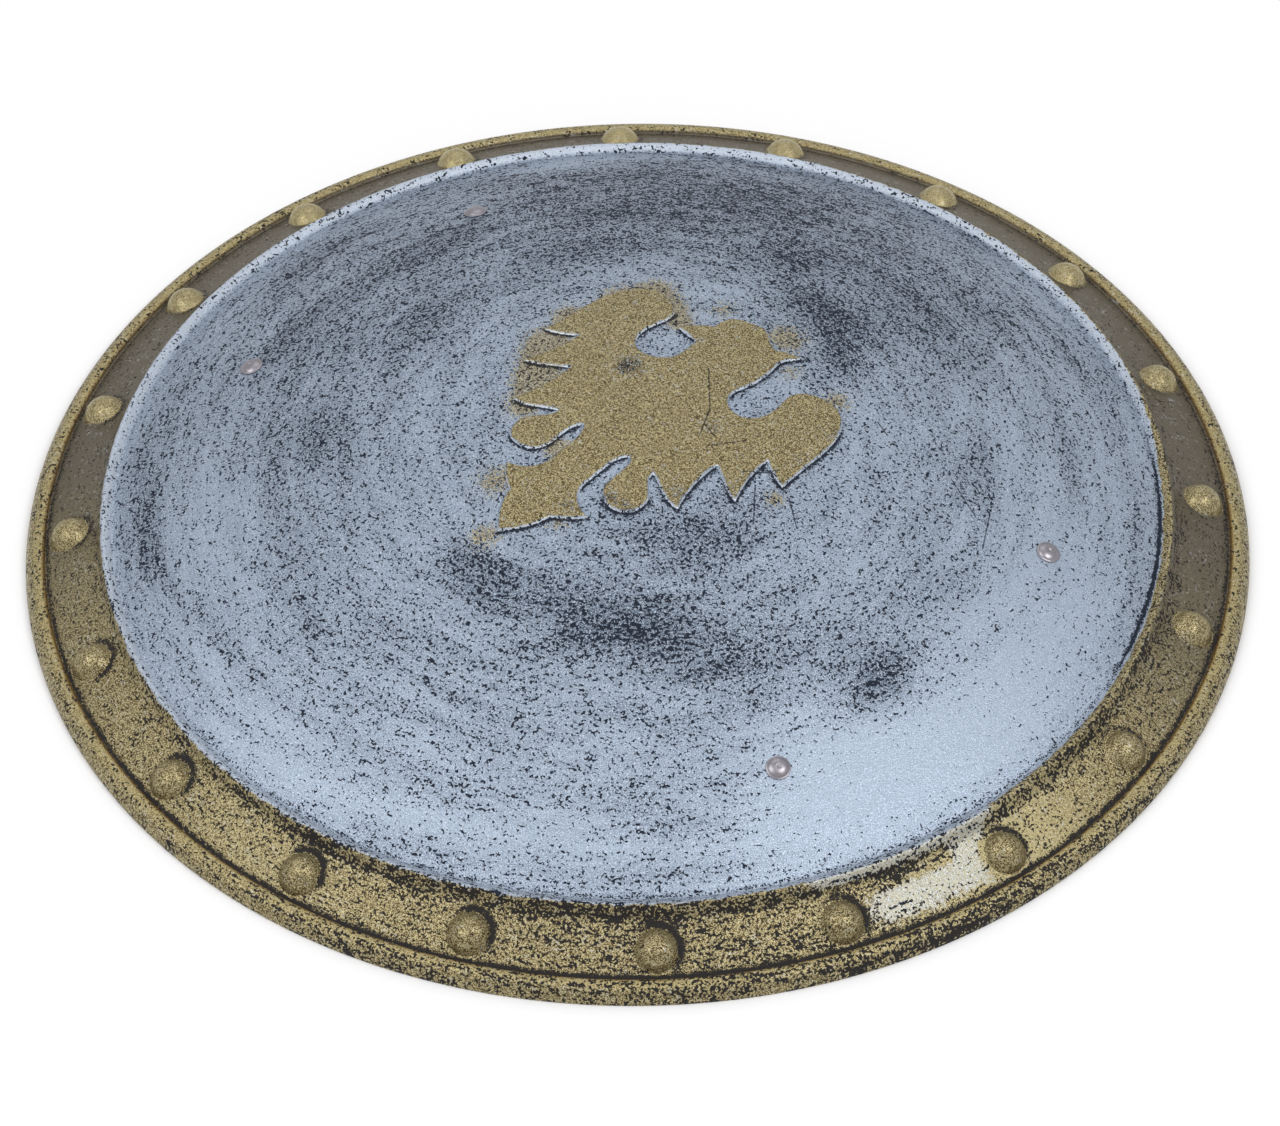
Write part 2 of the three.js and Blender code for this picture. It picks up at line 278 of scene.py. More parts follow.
def gap_to(points, centres):
    """Distance from each point to the nearest of some centres."""
    return np.linalg.norm(points[:, None] - centres[None], axis=-1).min(axis=1)


def around(points, centre):
    """Distance of points from a centre as measured on the sloping dome: the part along the
    shield's radius is longer than in plan by 1 / cos(slope)."""
    reach = np.linalg.norm(centre)
    out = centre / reach
    offset = points - centre
    slant = 1 / math.sqrt(1 - (reach / DOME_RADIUS) ** 2)
    radial, level = offset @ out, offset @ np.array([-out[1], out[0]])
    return np.hypot(radial * slant, level)


def slanted_ring(radius, count, centre):
    """A circle on the sloping dome about a centre, seen in plan."""
    reach = np.linalg.norm(centre)
    out = centre / reach
    squeeze = math.sqrt(1 - (reach / DOME_RADIUS) ** 2)
    flat = ring(radius, count)
    return centre + flat[:, :1] * squeeze * out + flat[:, 1:] * np.array([-out[1], out[0]])


STUD_CENTRES = polar(STUD_PITCH, STUDS)
RIVET_CENTRES = {name: polar(RIVET_PITCH, math.radians(b)) for name, b in RIVET_BEARINGS.items()}
OUTLINE = eagle_outline()

# A stud's profile from its top outwards: distance from its axis and height, a cap of a sphere
# that a small fillet joins to the band.
CAP = (STUD_RADIUS**2 + STUD_RISE**2) / (2 * STUD_RISE)
cap_turn = np.linspace(0, math.acos((CAP - STUD_RISE) / CAP) - 0.16, 9)
fillet_turn = np.linspace(0.15, 1, 5) * np.pi / 2
STUD_PROFILE = np.concatenate([
    np.stack([CAP * np.sin(cap_turn), STUD_RISE - CAP * (1 - np.cos(cap_turn))], axis=1),
    np.stack([
        STUD_RADIUS + STUD_FILLET * (1 - np.cos(fillet_turn)),
        STUD_FILLET * (1 - np.sin(fillet_turn)),
    ], axis=1),
])
GATE_PROFILE = np.array([[0, 0.1], [0.9, 0.12], [1.5, 0.42], [2.1, 0.4], [2.5, -0.12], [3.1, 0]])


def relief(plan, depth):
    """Height of the shell's outside above the dome's sphere: the eagle by its depth inside the
    outline, the gate mark and the lip by radius, and each stud by distance from its axis."""
    radius = np.linalg.norm(plan, axis=1)
    eagle = EMBLEM_RISE * smooth(depth, -0.3, 0.65)
    gate = np.interp(radius, *GATE_PROFILE.T)
    inner = smooth(radius, LIP_INNER, LIP_CREST) ** 0.7
    outer = (1 - smooth(radius, LIP_CREST - 0.4, LIP_OUTER + 2)) ** 2.2
    lip = LIP_RISE * np.where(radius < LIP_CREST, inner, outer) * (radius < LIP_OUTER + 2)
    nearest = STUDS[np.argmin(np.linalg.norm(plan[:, None] - STUD_CENTRES[None], axis=-1), axis=1)]
    turn = np.arctan2(plan[:, 1], plan[:, 0]) - nearest
    out = radius * np.cos(turn) - STUD_PITCH
    slant = 1 / math.sqrt(1 - (STUD_PITCH / DOME_RADIUS) ** 2)
    stud = np.interp(np.hypot(out * slant, radius * np.sin(turn)), *STUD_PROFILE.T, right=0)
    return eagle + gate + lip + stud


def outside_plan():
    """Plan positions of the outside's points, and the loops of them that stay edges: rings on
    the dome, lip and band, a finer grid round the eagle, loops along its outline, and rings on
    each stud and round each rivet hole."""
    eagle_reach = 92
    loops = [offset_loop(OUTLINE, offset) for offset in (-0.8, -0.3, 0.15, 0.6, 1.1)]
    step = 2.6
    marks = np.arange(-eagle_reach, eagle_reach, step)
    x, y = np.meshgrid(marks, marks)
    x = x + (np.arange(len(x)) % 2)[:, None] * step / 2
    grid = np.stack([x.ravel(), y.ravel()], axis=1)
    grid = grid[(np.linalg.norm(grid, axis=1) < eagle_reach - 1) & (np.linalg.norm(grid, axis=1) > 5)]
    depth = depth_inside(grid, OUTLINE)
    grid = grid[(depth < -1.9) | (depth > 2.2)]
    gate = [ring(radius, 16) for radius in GATE_PROFILE[1:, 0]] + [np.zeros((1, 2)), ring(4, 16)]

    dome = [ring(radius, int(radius * 1.9)) for radius in np.arange(eagle_reach, LIP_INNER - 4, 3.3)]
    lip_radii = [LIP_INNER - 2, *np.linspace(LIP_INNER - 0.6, LIP_OUTER, 16)]
    band_radii = [*np.linspace(BAND_INNER, BAND_OUTER, 8)[1:], GROOVE]
    rim = [ring(radius, RIM_COLUMNS) for radius in lip_radii + band_radii]

    sheet = np.concatenate([grid, *dome, *rim])
    holes = np.array(list(RIVET_CENTRES.values()))
    clear = gap_to(sheet, holes) > 7
    near_stud = gap_to(sheet, STUD_CENTRES) < 14
    for centre in STUD_CENTRES:
        rows = np.flatnonzero(near_stud)
        rows = rows[np.linalg.norm(sheet[rows] - centre, axis=1) < 14]
        clear[rows] &= around(sheet[rows], centre) > STUD_PROFILE[-1, 0] + 1.2
    sheet = sheet[clear]

    foot = STUD_PROFILE[-1, 0] + 0.9
    studs = [slanted_ring(radius, 28, c) for c in STUD_CENTRES for radius in [*STUD_PROFILE[1:, 0], foot]]
    tops = [STUD_CENTRES]
    collars = [slanted_ring(radius, HOLE_SIDES, c) for c in holes for radius in (RIVET_HOLE, 3.6, 5.2)]
    return np.concatenate([sheet, *gate, *studs, *tops, *collars]), loops


def inside_plan():
    """Plan positions of the underside's points: rings that end where the bead is hollowed, and
    finer ones in the dimple behind each stud and round each rivet hole."""
    rings = [ring(radius, int(max(radius, 20) * 1.1)) for radius in np.arange(6, 236, 6.2)]
    rings.append(ring(INSIDE_PLAN, RIM_COLUMNS))
    sheet = np.concatenate([np.zeros((1, 2)), *rings])
    holes = np.array(list(RIVET_CENTRES.values()))
    sheet = sheet[(gap_to(sheet, holes) > 8) & (gap_to(sheet, STUD_CENTRES) > 9.5)]
    dimples = [slanted_ring(radius, 20, c) for c in STUD_CENTRES for radius in [*DIMPLE_PROFILE[1:, 0], 7.4]]
    collars = [slanted_ring(radius, HOLE_SIDES, c) for c in holes for radius in (RIVET_HOLE, 5)]
    return np.concatenate([sheet, STUD_CENTRES, *dimples, *collars])


def triangles(plan, loops=()):
    """The Delaunay triangles of plan positions, with each loop kept as edges, less those in a
    rivet hole. Gives the positions again, because crossing loops add some."""
    starts = np.cumsum([len(plan)] + [len(loop) for loop in loops])
    edges = [
        (int(first + i), int(first + (i + 1) % len(loop)))
        for first, loop in zip(starts, loops)
        for i in range(len(loop))
    ]
    everything = np.concatenate([plan, *loops])
    found, _, faces, *_ = delaunay_2d_cdt(everything.tolist(), edges, [], 0, 1e-5)
    found, faces = np.array([tuple(v) for v in found]), np.array(faces)
    middles = found[faces].mean(axis=1)
    in_hole = np.zeros(len(faces), bool)
    for centre in RIVET_CENTRES.values():
        in_hole |= around(middles, centre) < RIVET_HOLE
    return found, faces[~in_hole]


def strip(rings):
    """Quads between rings of points that each have the same count, the first index first."""
    rows, count = rings.shape[:2]
    i, j = np.meshgrid(np.arange(rows - 1), np.arange(count), indexing="ij")
    nxt = (j + 1) % count
    corners = [i * count + j, i * count + nxt, (i + 1) * count + nxt, (i + 1) * count + j]
    return np.stack(corners, -1).reshape(-1, 4)


def arc(centre, half_width, half_height, first, last, steps):
    """Points on an ellipse: its centre plus the half axes times the cosine and the sine of a
    turn, in degrees, from first to last."""
    turn = np.radians(np.linspace(first, last, steps))
    return np.array(centre) + np.stack([half_width * np.cos(turn), half_height * np.sin(turn)], axis=1)


# Behind each stud the plastic is cored out, so that the wall stays even.
DIMPLE_PROFILE = np.array([[0, 5.4], [2.2, 5.0], [3.8, 3.9], [4.8, 2.4], [5.3, 0.8], [5.8, 0]])
INSIDE_EDGE = 241.0
inside_sphere = DOME_RADIUS - WALL
INSIDE_EDGE_Z = DOME_CENTRE + math.sqrt(inside_sphere**2 - INSIDE_EDGE**2)
INSIDE_PLAN = dome_plan(INSIDE_EDGE, INSIDE_EDGE_Z)[0]

groove_start = on_dome(np.array([[GROOVE, 0]]), relief(np.array([[GROOVE, 0]]), np.array([-99])))[0]
bead_outer = arc((BEAD_CREST, BEAD_WAIST), OUTER - BEAD_CREST, BEAD_TOP - BEAD_WAIST, 90, 0, 12)
RIM_PROFILE = np.concatenate([
    groove_start[None, [0, 2]],
    [[GROOVE + 0.35, 5.55]],
    arc((BEAD_CREST, 5.6), 2.0, BEAD_TOP - 5.6, 165, 90, 7)[:-1],
    bead_outer[:-1],
    [[OUTER - 0.02, 0.6], [OUTER - 0.1, 0.2], [OUTER - 0.35, 0]],
    [[OUTER - WALL + 0.35, 0], [OUTER - WALL + 0.1, 0.1], [OUTER - WALL, 0.4], [OUTER - WALL, 1.0]],
    arc((BEAD_CREST, 1.0), 3.3, 3.6, 0, 115, 8)[1:],
    [[241.7, 3.4], [INSIDE_EDGE, INSIDE_EDGE_Z]],
])


def shell_points():
    """The shell's points, its faces as four kinds of part, outside, rim, underside and hole walls,
    welded into one closed skin, and each point's depth inside the eagle's outline."""
    plan, faces = triangles(*outside_plan())
    near = np.linalg.norm(plan, axis=1) < 100
    depth = np.full(len(plan), -99.0)
    depth[near] = depth_inside(plan[near], OUTLINE)
    parts = [(on_dome(plan, relief(plan, depth)), faces)]

    turn = 2 * np.pi * np.arange(RIM_COLUMNS) / RIM_COLUMNS
    radius, z = RIM_PROFILE.T
    rim = np.stack([
        radius[:, None] * np.cos(turn), radius[:, None] * np.sin(turn), np.repeat(z[:, None], RIM_COLUMNS, 1)
    ], axis=-1)
    rim_faces = strip(rim)
    parts.append((rim.reshape(-1, 3), rim_faces[:, ::-1]))

    under, under_faces = triangles(inside_plan())
    hollow = np.full(len(under), -WALL)
    for centre in STUD_CENTRES:
        hollow = np.maximum(hollow, np.interp(around(under, centre), *DIMPLE_PROFILE.T, right=-9) - WALL)
    parts.append((on_dome(under, hollow), under_faces[:, ::-1]))

    for centre in RIVET_CENTRES.values():
        mouth = slanted_ring(RIVET_HOLE, HOLE_SIDES, centre)
        faces_of_dome = (np.zeros(HOLE_SIDES), np.full(HOLE_SIDES, -WALL))
        wall = np.stack([on_dome(mouth, height) for height in faces_of_dome])
        parts.append((wall.reshape(-1, 3), strip(wall)))

    starts = np.cumsum([0] + [len(points) for points, _ in parts])
    points = np.concatenate([points for points, _ in parts])
    keys = np.round(points / 2e-4).astype(np.int64)
    _, first, welded = np.unique(keys, axis=0, return_index=True, return_inverse=True)
    welded = welded.ravel()
    all_faces = [welded[faces + start] for (_, faces), start in zip(parts, starts)]
    depths = np.concatenate([depth, np.full(len(points) - len(depth), -99.0)])
    return points[first], all_faces, depths[first]


def make_piece(name, points, face_groups):
    """A mesh object from points in millimetres and arrays of faces, shaded smooth, that rides
    on the shield's one body."""
    mesh = bpy.data.meshes.new(name)
    faces = [face for group in face_groups for face in group.tolist()]
    mesh.from_pydata((points * 0.001).tolist(), [], faces)
    mesh.shade_smooth()
    piece = bpy.data.objects.new(name, mesh)
    bpy.context.scene.collection.objects.link(piece)
    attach(piece, "root")
    return piece


shell_xyz, shell_faces, shell_depth = shell_points()
shell = make_piece("shield_shell", shell_xyz, shell_faces)
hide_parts("shell")

# ---- Paint on the shell ----------------------------------------------------------------------
# Near-black grained plastic shows as specks through dry-brushed silver on the dome and gold on
# the eagle and the studded rim. Broad strokes that run round the shield left more or less paint;
# some of them also paint the far side of the dome darker and parts of the near side lighter, as
# painted shade and painted highlight.

# Each row is a stroke that left less silver, or more where its weight is negative: radius,
# bearing in degrees, half its length along the circle, half its width, weight. The rows with
# positive weight on the far side are painted shade, and those with negative weight on the near
# right are the painted highlight of the soft boxes.
STROKES_AND_PAINTED_LIGHT = np.array([
    (131, 103, 20, 12, 0.55), (108, 88, 26, 15, 0.95), (93, 73, 15, 11, 0.6),
    (97, -78, 20, 11, 0.5), (105, -50, 34, 16, 1.0), (125, -28, 26, 12, 0.7), (152, -8, 18, 13, 0.9),
    (118, 140, 24, 11, 0.5), (108, 165, 34, 10, 0.3), (112, 190, 28, 10, 0.3), (128, 219, 22, 13, 0.55),
    (155, 170, 28, 11, 0.4), (160, 195, 38, 11, 0.45), (193, 178, 40, 8, 0.5),
    (165, 122, 110, 48, 0.95), (150, 75, 40, 40, 0.35), (135, 38, 20, 13, 0.35), (138, 12, 16, 11, 0.35),
    (67, -27, 34, 17, 0.6), (178, -38, 44, 15, 0.35), (150, 185, 90, 50, 0.3), (150, 262, 50, 12, 0.2),
    (198, 226, 55, 8, 0.6), (95, 270, 14, 9, 0.5), (140, 245, 40, 22, 0.15), (60, 200, 60, 20, 0.1),
    (190, -6, 70, 20, -1.2), (185, -22, 45, 26, -0.75), (172, 22, 50, 24, -0.45), (150, 55, 40, 20, -0.1),
    (172, 231, 44, 14, -0.4), (200, 262, 80, 12, -0.35), (205, 142, 30, 8, -0.4), (190, 300, 60, 22, -0.3),
])
# The same for the specks in the gold of the rim.
RIM_STROKES = np.array([
    (219.6, 305, 230, 2.6, 1.2), (219.6, 30, 150, 2.6, 0.6), (226, 300, 60, 8, 0.25), (228, 5, 40, 10, 0.2),
    (236, 330, 60, 5, 0.35), (248, 318, 170, 5, 0.75), (250, 345, 80, 6, 0.9), (247, 280, 60, 5, 0.35),
    (221.5, -20, 13, 3, 1.4), (231, 100, 230, 14, -0.9), (231, 205, 130, 14, -0.5),
    (231, 300, 14, 6, -0.3), (232, 316, 110, 14, 0.4), (234, 2, 20, 6, -0.5),
])


def stroke_field(points, strokes):
    """Sum of the strokes at points: each weight times exp(-(u^2 + v^2)), with u the distance
    round the circle over half the length and v the distance across over half the width."""
    radius, bearing = np.hypot(points[:, 0], points[:, 1]), np.arctan2(points[:, 1], points[:, 0])
    total = np.zeros(len(points))
    for middle, direction, length, width, weight in strokes:
        turn = (bearing - math.radians(direction) + np.pi) % (2 * np.pi) - np.pi
        total += weight * np.exp(-((turn * middle / length) ** 2) - ((radius - middle) / width) ** 2)
    return total


def blots(points, rows):
    """Sum over rows of x, y, size and weight of weight times exp(-(distance / size)^2)."""
    total = np.zeros(len(points))
    for x, y, size, weight in rows:
        total += weight * np.exp(-(((points[:, 0] - x) ** 2 + (points[:, 1] - y) ** 2) / size**2))
    return total


def add_field(piece, name, values):
    """A number for each point of a piece, for its material to read by name."""
    column = piece.data.attributes.new(name, "FLOAT", "POINT").data
    column.foreach_set("value", np.asarray(values, np.float32))


flat = shell_xyz[:, :2]
reach = np.linalg.norm(flat, axis=1)
bearing = np.arctan2(flat[:, 1], flat[:, 0])
# Which points by the eagle's edges face the camera; those edges get a painted highlight and a painted shadow
# just outside them.
shell_facing = np.zeros(len(flat))
by_edge = np.abs(shell_depth) < 3.5
towards_view = np.array([math.sin(SIGHT_BEARING), -math.cos(SIGHT_BEARING)])
step = depth_inside(flat[by_edge] + towards_view * 0.25, OUTLINE) - shell_depth[by_edge]
shell_facing[by_edge] = smooth(-step / 0.25, -0.1, 0.5)
add_field(shell, "facing", shell_facing)
gap = gap_to(flat, STUD_CENTRES)
add_field(shell, "stud", 1 - smooth(gap, 7.8, 8.8))
add_field(shell, "depth", np.clip(shell_depth, -6, 6))
# How much plastic shows through: on the dome from the strokes, with their painted shade and painted
# highlight, and on the rim from the rim strokes.
add_field(shell, "bare", np.where(reach < 214, stroke_field(flat, STROKES_AND_PAINTED_LIGHT), stroke_field(flat, RIM_STROKES)))
near = smooth(np.cos(bearing - SIGHT_BEARING + np.pi / 2), -0.6, 0.8)
# Round each stud's foot a dark ring, heavier on one side and on the near side: painted shade in the crease.
nearest = STUD_CENTRES[np.argmin(np.linalg.norm(flat[:, None] - STUD_CENTRES[None], axis=-1), axis=1)]
from_stud = flat - nearest
towards_axis = -(from_stud * nearest).sum(axis=1) / STUD_PITCH
side = (from_stud @ np.array([0.72, 0.69]) * 0.7 + towards_axis * 0.8) / np.maximum(gap, 1)
painted_stud_shade = np.exp(-(((gap - 9.3) / 1.7) ** 2)) * (0.2 + 0.65 * smooth(side, -0.3, 0.9)) * (0.6 + 0.4 * near)
# A dark line along the groove, heavier on the near side: painted shade.
painted_groove_shade = np.exp(-(((reach - 241.0) / 0.8) ** 2)) * (0.5 + 0.35 * near)
# A dark line at the inner foot of the lip: round bearing 33 degrees where the brush missed, and along the
# near side as painted shade.
lip_gap_and_painted_shade = np.exp(-(((reach - 212.4) / 1.2) ** 2)) * np.maximum(
    near * 0.5, smooth(np.cos(bearing - math.radians(33)), 0.9, 1.0)
)
# A dark band just outside the eagle's edges that face the camera: painted shadow.
painted_eagle_shadow = 0.75 * smooth(shell_depth, -2.6, -0.5) * (shell_depth < 0) * shell_facing
# These dark lines make one field: mostly painted shade and painted shadow, with the brush gap inside the
# lip.
painted_shade_and_lip_gap = painted_stud_shade + painted_groove_shade + lip_gap_and_painted_shade + painted_eagle_shadow
add_field(shell, "painted_shade_and_lip_gap", np.clip(painted_shade_and_lip_gap, 0, 1) * (shell_xyz[:, 2] > 4.5))
# Where the gold of the rim is painted greyer and darker on the far side, which turns away from
# the lamps: painted shade; where the weight is negative it is painted brighter: painted
# highlight. Bearing and spread in degrees, and weight.
RIM_SHADE_AND_HIGHLIGHT = (
    (50, 34, 1.0), (95, 30, 0.8), (125, 40, 0.75), (170, 40, 0.75), (205, 30, 0.8),
    (352, 14, -0.7), (275, 14, -0.3),
)
rim_shade_and_highlight = np.zeros(len(flat))
for direction, spread, weight in RIM_SHADE_AND_HIGHLIGHT:
    apart = (np.degrees(bearing) - direction + 180) % 360 - 180
    rim_shade_and_highlight += weight * np.exp(-((apart / spread) ** 2))
add_field(shell, "rim_shade_and_highlight", np.clip(rim_shade_and_highlight, -1, 1))
# Where the eagle's gold is worn, and where gold strayed past its outline: x, y, size and weight.
WORN = [
    (-23.5, 21, 7, 0.8), (22, -38, 5, 0.6), (31, -37, 4, 0.5), (40, -18, 5, 0.5), (53, -1, 4, 0.5),
    (12, -52, 5, 0.5), (26, 18, 6, 0.42), (62, 30, 5, 0.4), (-16, 50, 5, 0.4), (60, 50, 5, 0.35),
]
SPILL = [
    (-60, 12, 10, 1.1), (-52, -1, 10, 1.1), (-45, -12, 9, 1.0), (-40, -24, 8, 0.8), (-50, 66, 10, 0.9),
    (-36, 60, 8, 0.9), (-14, -32, 7, 0.9), (-20, -60, 10, 0.7), (-4, -83, 8, 0.7), (48, 68, 7, 0.7),
    (8, 81, 10, 0.8), (68, 8, 5, 0.7), (-65, 30, 8, 0.9), (14, -60, 7, 0.6), (-22, 76, 7, 0.6),
    (-27, 56, 6, 0.7), (24, 66, 7, 0.55), (-60, 52, 8, 0.8),
]
add_field(shell, "worn", blots(flat, WORN))
add_field(shell, "spill", blots(flat, SPILL))
# Silver that strayed over the band between two studs, in three strokes.
degrees_round = np.degrees(bearing)
low_patch = smooth(degrees_round, -27, -21) * (1 - smooth(degrees_round, -11.5, -9.5))
low_patch *= smooth(reach, 224, 227)
high_patch = smooth(degrees_round, -15, -12.5) * (1 - smooth(degrees_round, -10.5, -8.5))
lip_patch = smooth(degrees_round, -31, -27) * (1 - smooth(degrees_round, -9, -7))
lip_patch *= 1 - smooth(reach, 218.6, 220.2)
band_patch = np.maximum(np.maximum(low_patch, high_patch), lip_patch)
within_band = smooth(reach, 214, 215) * (1 - smooth(reach, 233, 240))
add_field(shell, "patch", band_patch * within_band * smooth(gap, 9, 12.5))


class Graph:
    """The node tree of one new material."""

    def __init__(self, name):
        self.material = bpy.data.materials.new(name)
        self.material.use_nodes = True
        self.tree = self.material.node_tree
        self.shader = self.tree.nodes["Principled BSDF"]

    def node(self, kind, sockets, output=0, **settings):
        """A node of any kind: its settings, its sockets by name or number, and one output."""
        made = self.tree.nodes.new("ShaderNode" + kind)
        for key, value in settings.items():
            setattr(made, key, value)
        for key, value in sockets.items():
            self.join(made.inputs[key], value)
        return Wire(self, made.outputs[output])

    def join(self, socket, value):
        """Link a wire to a socket, or give the socket a plain value."""
        if isinstance(value, Wire):
            self.tree.links.new(value.socket, socket)
        else:
            socket.default_value = value

    def finish(self, **sockets):
        """Feed the shader, with an underscore for each space in a socket's name."""
        for key, value in sockets.items():
            self.join(self.shader.inputs[key.replace("_", " ")], value)
        return self.material


class Wire:
    """An output of a node, with arithmetic that adds Math nodes."""

    def __init__(self, graph, socket):
        self.graph, self.socket = graph, socket

    def math(self, operation, *others):
        """A Math node of this and other wires or numbers."""
        return self.graph.node("Math", dict(enumerate([self, *others])), operation=operation)

    def __add__(self, other):
        return self.math("ADD", other)

    def __sub__(self, other):
        return self.math("SUBTRACT", other)

    def __mul__(self, other):
        return self.math("MULTIPLY", other)

    def __truediv__(self, other):
        return self.math("DIVIDE", other)

    def __radd__(self, other):
        return self + other

    def __rmul__(self, other):
        return self * other

    def __rsub__(self, other):
        return self.graph.node("Math", {0: other, 1: self}, operation="SUBTRACT")

    def ease(self, low, high):
        """0 below low, 1 above high, smooth between."""
        sockets = {"Value": self, "From Min": low, "From Max": high}
        return self.graph.node("MapRange", sockets, interpolation_type="SMOOTHSTEP")

    def blend(self, first, second):
        """The first colour where this is 0, the second where it is 1."""
        return self.graph.node("Mix", {0: self, 6: first, 7: second}, output=2, data_type="RGBA")

    def noise(self, scale, detail=2.0, roughness=0.5):
        """Noise at coordinates in millimetres: a scale of 1 gives features a millimetre wide."""
        sockets = {"Vector": self, "Scale": scale, "Detail": detail, "Roughness": roughness}
        return self.graph.node("TexNoise", sockets)


def colour(red, green, blue):
    """A shader colour from the red, green and blue, 0 to 255, that a screen shows."""
    channels = np.array([red, green, blue]) / 255
    linear = np.where(channels < 0.04045, channels / 12.92, ((channels + 0.055) / 1.055) ** 2.4)
    return (*linear.tolist(), 1.0)


paint = Graph("dry_brushed_plastic")
place = paint.node("TexCoord", {}, output="Object")
mm = paint.node("VectorMath", {0: place, "Scale": 1000.0}, operation="SCALE")
x, y, z = (paint.node("SeparateXYZ", {0: mm}, output=axis) for axis in "XYZ")
radius = (x * x + y * y).math("SQRT")
# Brush marks run round the shield: noise on a cylinder whose height is the radius.
across = radius.math("MAXIMUM", 1.0)
round_x, round_y = x / across * 46, y / across * 46
brush = paint.node("CombineXYZ", {0: round_x, 1: round_y, 2: radius * 0.8})
swirl = paint.node("CombineXYZ", {0: round_x * 0.075, 1: round_y * 0.075, 2: radius * 0.13})

field = {
    name: paint.node("Attribute", {}, output="Fac", attribute_name=name)
    for name in ("depth", "bare", "painted_shade_and_lip_gap", "worn", "spill", "patch", "rim_shade_and_highlight", "facing", "stud")
}
fine = mm.noise(0.9, 1.5, 0.55)
stroke = brush.noise(0.85, 2.0, 0.55)
grain = fine * 0.6 + stroke * 0.4
broad = swirl.noise(1.0, 3.0, 0.55)
sparkle = mm.noise(2.1, 1.0, 0.6)
ragged = mm.noise(0.22, 3.0, 0.6)

rightward = (x + y) * math.cos(SIGHT_BEARING) / across
far = (y * math.cos(SIGHT_BEARING) - x * math.sin(SIGHT_BEARING)) / across
gold_over_lip = rightward.math("MAXIMUM", 0.0) * (0.35 - far).ease(0, 0.35)
edge = 217.6 - rightward * 0.6 - gold_over_lip * 3.0 + (ragged - 0.5) * 2.4
gold_rim = (radius - edge).ease(-0.3, 0.3)
gold_eagle = (field["depth"] + (ragged - 0.5) * 1.6 + (fine - 0.5) * 1.2).ease(0.35, 0.75)
# A thin light line along the eagle's edges that face the camera: painted highlight.
painted_edge_highlight = (field["depth"] + 0.1).ease(-0.12, 0.12) * (field["depth"] - 0.34).ease(0.13, -0.13)
painted_edge_highlight = painted_edge_highlight * field["facing"] * (ragged * 2.2 - 0.35).ease(0, 1)
gold_spill = (field["spill"] + (fine - 0.5) * 1.8).ease(0.42, 0.6) * 0.8 * (1 - painted_edge_highlight)
silver_patch = (field["patch"] + (ragged - 0.5) * 1.3 + (fine - 0.5) * 2.0).ease(0.22, 0.85)
eagle_worn = (field["worn"] + (fine - 0.5) * 2.4 + (stroke - 0.5) * 1.0).ease(0.42, 0.6)
gold_eagle = gold_eagle * (1 - eagle_worn * 0.45)
gold = gold_rim.math("MAXIMUM", gold_eagle).math("MAXIMUM", gold_spill) * (1 - silver_patch)

bare = field["bare"] + (broad - 0.5) * 1.6
on_rim = (radius - 217.5).ease(-0.5, 0.5)
calm = 1 - gold_eagle * 0.9
threshold = 0.43 + bare * 0.072 * calm - gold_eagle * 0.1 - field["stud"] * 0.09 + eagle_worn * 0.19
threshold = threshold - silver_patch * on_rim * 0.05
specks = 1 - (grain - threshold).ease(-0.006, 0.009)
# Dark where that field is high: painted shade, painted shadow and the brush gap by the lip.
painted_shade_and_gap_marks = (field["painted_shade_and_lip_gap"] + (fine - 0.5) * 1.8).ease(0.4, 0.62)


def scratch(*points):
    """1 on a thin ragged line through places given in millimetres: the distance from each
    stretch of it is measured from the nearest of its points, a share t of the way along."""
    marks = []
    for (ax, ay), (bx, by) in zip(points, points[1:]):
        length = math.hypot(bx - ax, by - ay)
        ux, uy = (bx - ax) / length, (by - ay) / length
        t = ((x - ax) * ux + (y - ay) * uy).math("MAXIMUM", 0.0).math("MINIMUM", length)
        off_x, off_y = x - ax - t * ux, y - ay - t * uy
        apart = (off_x * off_x + off_y * off_y).math("SQRT")
        marks.append((apart + (fine - 0.5) * 1.1).ease(0.42, 0.22))
    total = marks[0]
    for mark in marks[1:]:
        total = total.math("MAXIMUM", mark)
    return total


scratches = scratch((1, 42), (18, 24.5), (25.3, 10))
for places in (
    ((21.8, 16.8), (29.8, 14.6)), ((58, 7.5), (71, -7.6)), ((72, 12.4), (84, 3.5)),
    ((104.6, 73.1), (123.4, 66.3)), ((113.8, 69.3), (121, 72)), ((125.9, 72.6), (136.2, 56.2)),
    ((66, 72.1), (73.5, 69.7)), ((31, 8), (40, 22)), ((50, 8), (60, 20)),
):
    scratches = scratches.math("MAXIMUM", scratch(*places))
dark = specks.math("MAXIMUM", painted_shade_and_gap_marks).math("MAXIMUM", scratches * 0.85)

# The silver darkens where it is thin and in the painted shade, and lightens in the painted highlight.
silver_thinness_and_painted_light = (bare * 0.6 + 0.4).ease(-0.1, 1.1)
silver = silver_thinness_and_painted_light.blend(colour(158, 172, 190), colour(78, 91, 108))
# The lip's silver is lightened, more on the far side where its inner face turns to the camera: painted
# highlight. The eagle's painted edge highlight joins it.
lip = (radius - 213.4).ease(0, 1.6) * (far * 0.15 + 0.5)
painted_highlight = lip.math("MAXIMUM", painted_edge_highlight)
silver = painted_highlight.blend(silver, colour(202, 209, 219))
silver = (silver_patch * on_rim).blend(silver, colour(178, 172, 146))
silver = ((sparkle - 0.5) * 3.0 + 0.2).ease(0, 1).blend(silver, colour(205, 216, 232))
glint = ((sparkle - 0.5) * 4.2 + (fine - 0.5) * 1.6 + 0.42).ease(0, 1)
gold_tone = glint.blend(colour(84, 69, 39), colour(190, 178, 136))
on_bead = (radius - 241.5).ease(0, 1.5)
